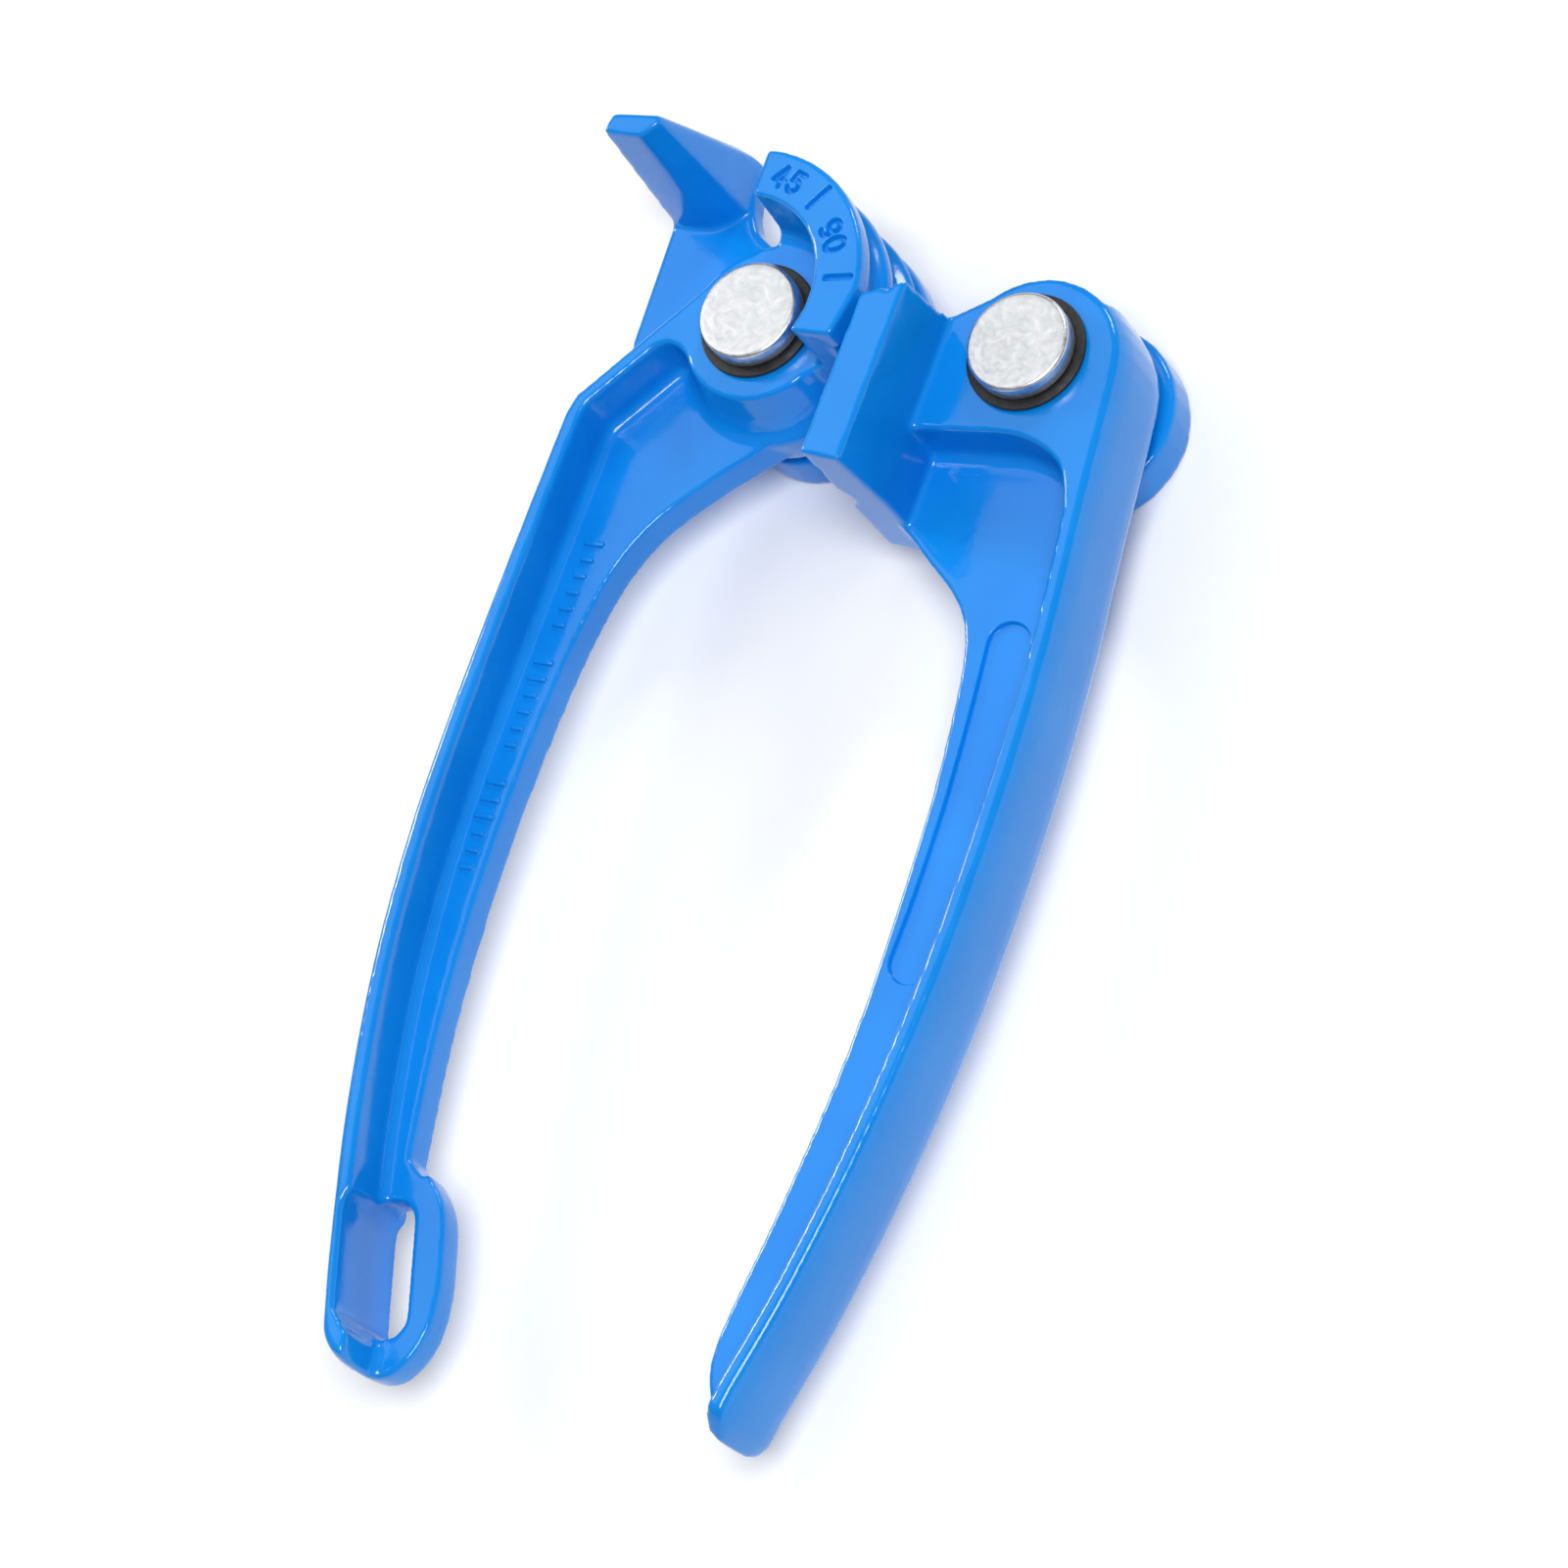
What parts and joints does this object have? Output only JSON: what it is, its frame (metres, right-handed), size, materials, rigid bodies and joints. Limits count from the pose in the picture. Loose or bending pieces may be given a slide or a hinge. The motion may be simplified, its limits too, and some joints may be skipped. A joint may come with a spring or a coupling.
{
  "type": "hand tube bender",
  "caption": "Two-handled hand bender that wraps small soft tube round a grooved quarter-round die with a sliding shoe on a swinging link.",
  "frame": {"origin": "centre of the link's back face, midway between the two pins", "axes": "+Z along the pins towards their heads, -Y along the handles towards their free ends, +X from the die pin to the lever pin"},
  "size_m": [0.0838, 0.1751, 0.0361],
  "materials": {
    "blue_paint": "gloss",
    "zinc_steel": "satin",
    "black_washer": "satin"
  },
  "bodies": {
    "die_handle": {"die_handle": "blue_paint", "front_washer_die": "black_washer", "spacer_washer_die": "black_washer"},
    "link": {"link": "blue_paint", "pin_die": "zinc_steel", "pin_lever": "zinc_steel", "rear_washer_die": "zinc_steel", "rear_washer_lever": "zinc_steel"},
    "lever": {"lever_handle": "blue_paint", "front_washer_lever": "black_washer", "spacer_washer_lever": "black_washer"}
  },
  "joints": [
    {"name": "link_pivot", "type": "hinge", "parent": "die_handle", "child": "link", "pos_m": [-0.02, 0, 0.0167], "axis": [0, 0, 1], "range_deg": [-8, 99]},
    {"name": "lever_pivot", "type": "hinge", "parent": "link", "child": "lever", "pos_m": [0.02, 0, 0.0167], "axis": [0, 0, 1], "range_deg": [0, 90]}
  ]
}
